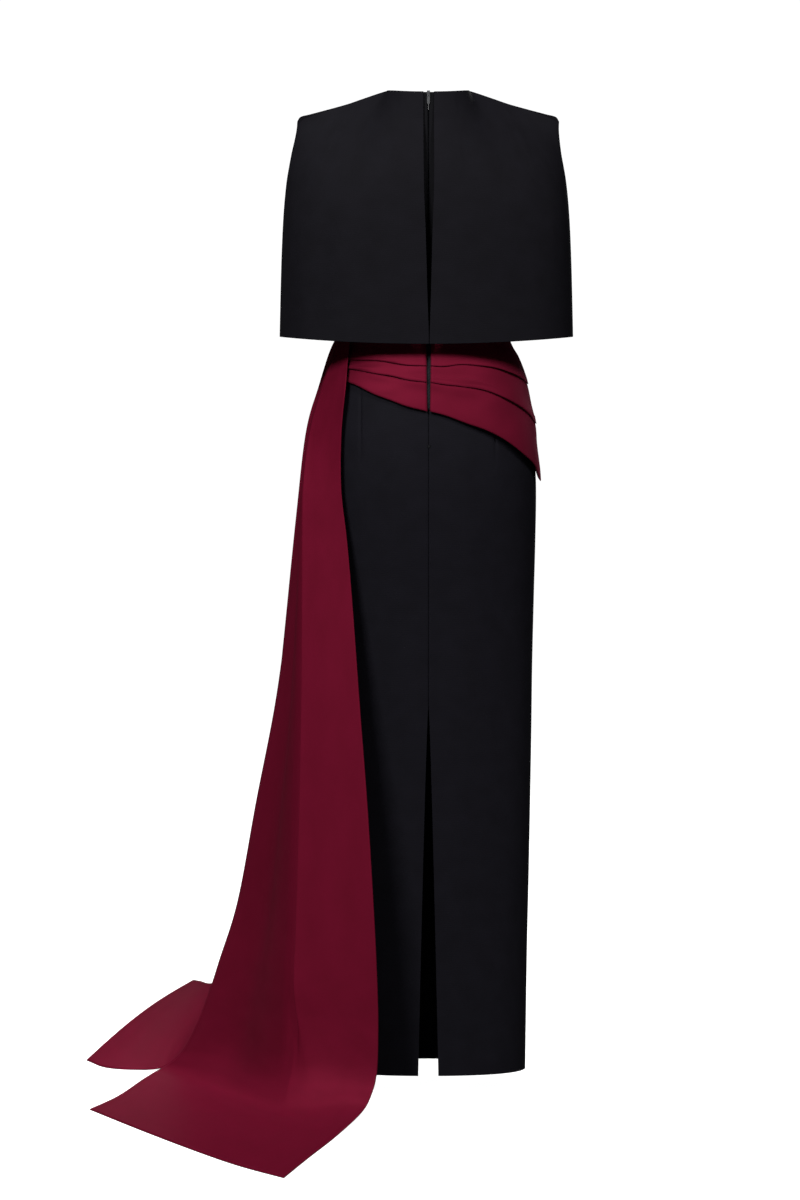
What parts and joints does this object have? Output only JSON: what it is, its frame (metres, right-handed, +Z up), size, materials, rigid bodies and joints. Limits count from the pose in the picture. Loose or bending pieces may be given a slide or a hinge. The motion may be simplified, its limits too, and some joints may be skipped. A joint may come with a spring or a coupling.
{
  "type": "evening gown",
  "caption": "Full-length column gown worn by no one: structured cape with an open back, tucked satin hip drape and a long draped side train.",
  "frame": {"origin": "middle of the neck opening, level with the top of the shoulder seams at the neck, where the wearer's shoulders hold the gown", "axes": "+Z up, the back of the gown faces -Y, the wearer's left is -X"},
  "size_m": [0.756, 1.383, 1.5117],
  "materials": {
    "cape_crepe": "matte black crepe, firm and smooth",
    "bodice_crepe": "matte black crepe",
    "skirt_crepe": "matte black crepe",
    "satin": "heavy burgundy satin with a soft sheen",
    "zip_tape": "black woven tape",
    "nickel": "polished nickel"
  },
  "bodies": {
    "gown": {"cape_back_left": "cape_crepe", "cape_back_right": "cape_crepe", "cape_front": "cape_crepe", "bodice_back_left": "bodice_crepe", "bodice_back_right": "bodice_crepe", "bodice_front": "bodice_crepe", "skirt_back_left": "skirt_crepe", "skirt_back_right": "skirt_crepe", "skirt_front": "skirt_crepe", "drape_back_left": "satin", "drape_back_right": "satin", "drape_front": "satin", "train_front_tail": "satin", "train_rear_tail": "satin", "zip_tape_left": "zip_tape", "zip_tape_right": "zip_tape", "zip_slider": "nickel"},
    "pull_tab": {"zip_pull_tab": "nickel"}
  },
  "joints": [
    {"name": "pull_tab_hinge", "type": "hinge", "parent": "gown", "child": "pull_tab", "pos_m": [0, -0.06141, -0.00875], "axis": [-1, 0, 0], "range_deg": [0, 165]}
  ]
}
